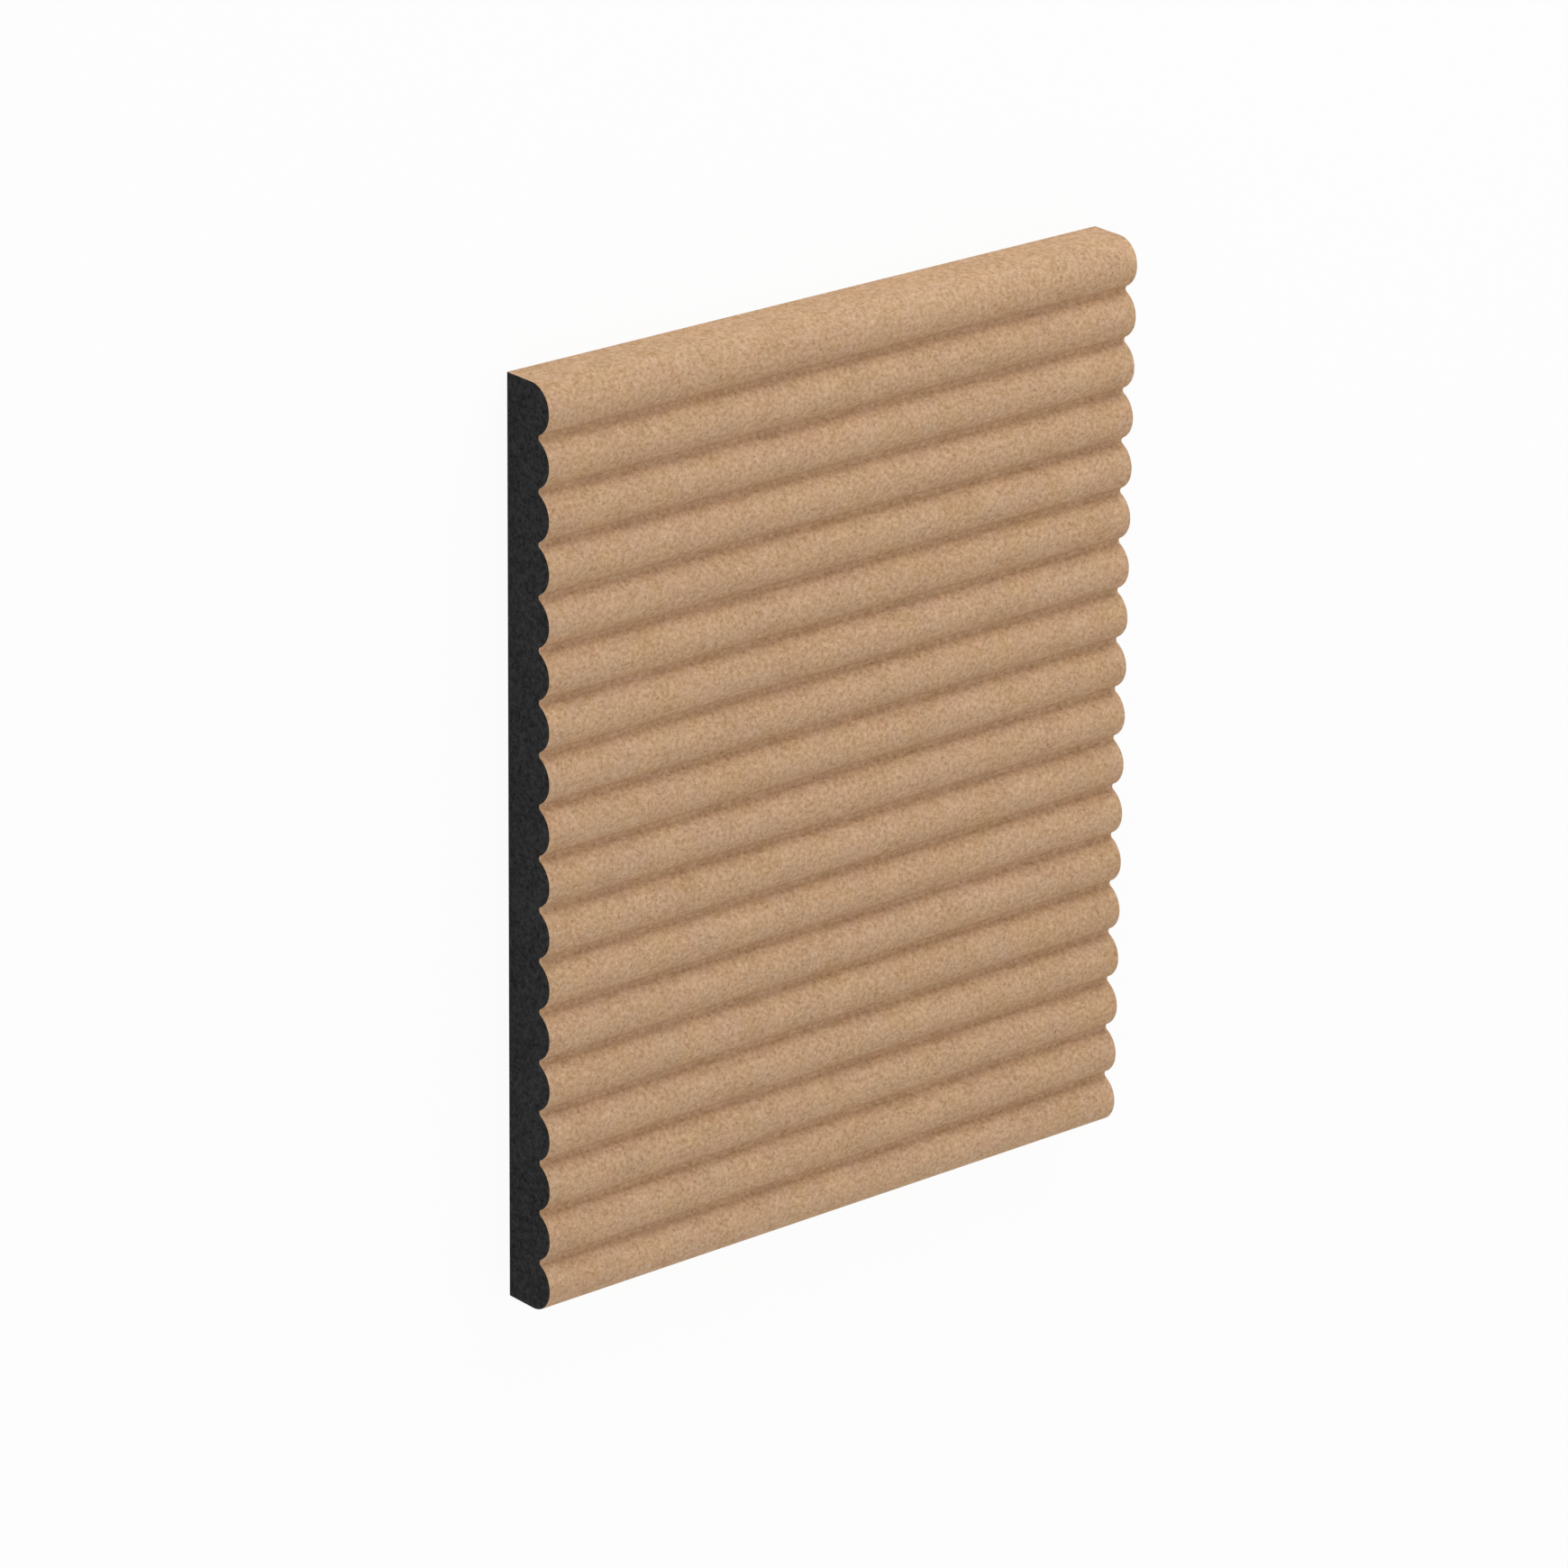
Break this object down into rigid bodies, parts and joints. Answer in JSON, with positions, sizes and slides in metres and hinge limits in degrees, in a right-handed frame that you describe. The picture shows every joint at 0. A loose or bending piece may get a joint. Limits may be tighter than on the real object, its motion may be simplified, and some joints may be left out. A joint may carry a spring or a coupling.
{
  "type": "reeded wall batten",
  "caption": "Short cut length of flat-backed fibreboard wall batten, its face run with round reeds side by side and its cut ends matt black.",
  "frame": {"origin": "centre of the flat back, which is what the batten lies on", "axes": "+X along the reeds, +Y across the reeds from the lower long edge to the upper one as the picture shows it, +Z from the back up to the crests of the reeds"},
  "size_m": [0.14, 0.18, 0.012],
  "materials": {
    "fibreboard": "raw medium-density fibreboard, machined and lightly sanded, with the two cut ends painted matt black"
  },
  "bodies": {
    "root": {"batten": "fibreboard"}
  },
  "joints": []
}
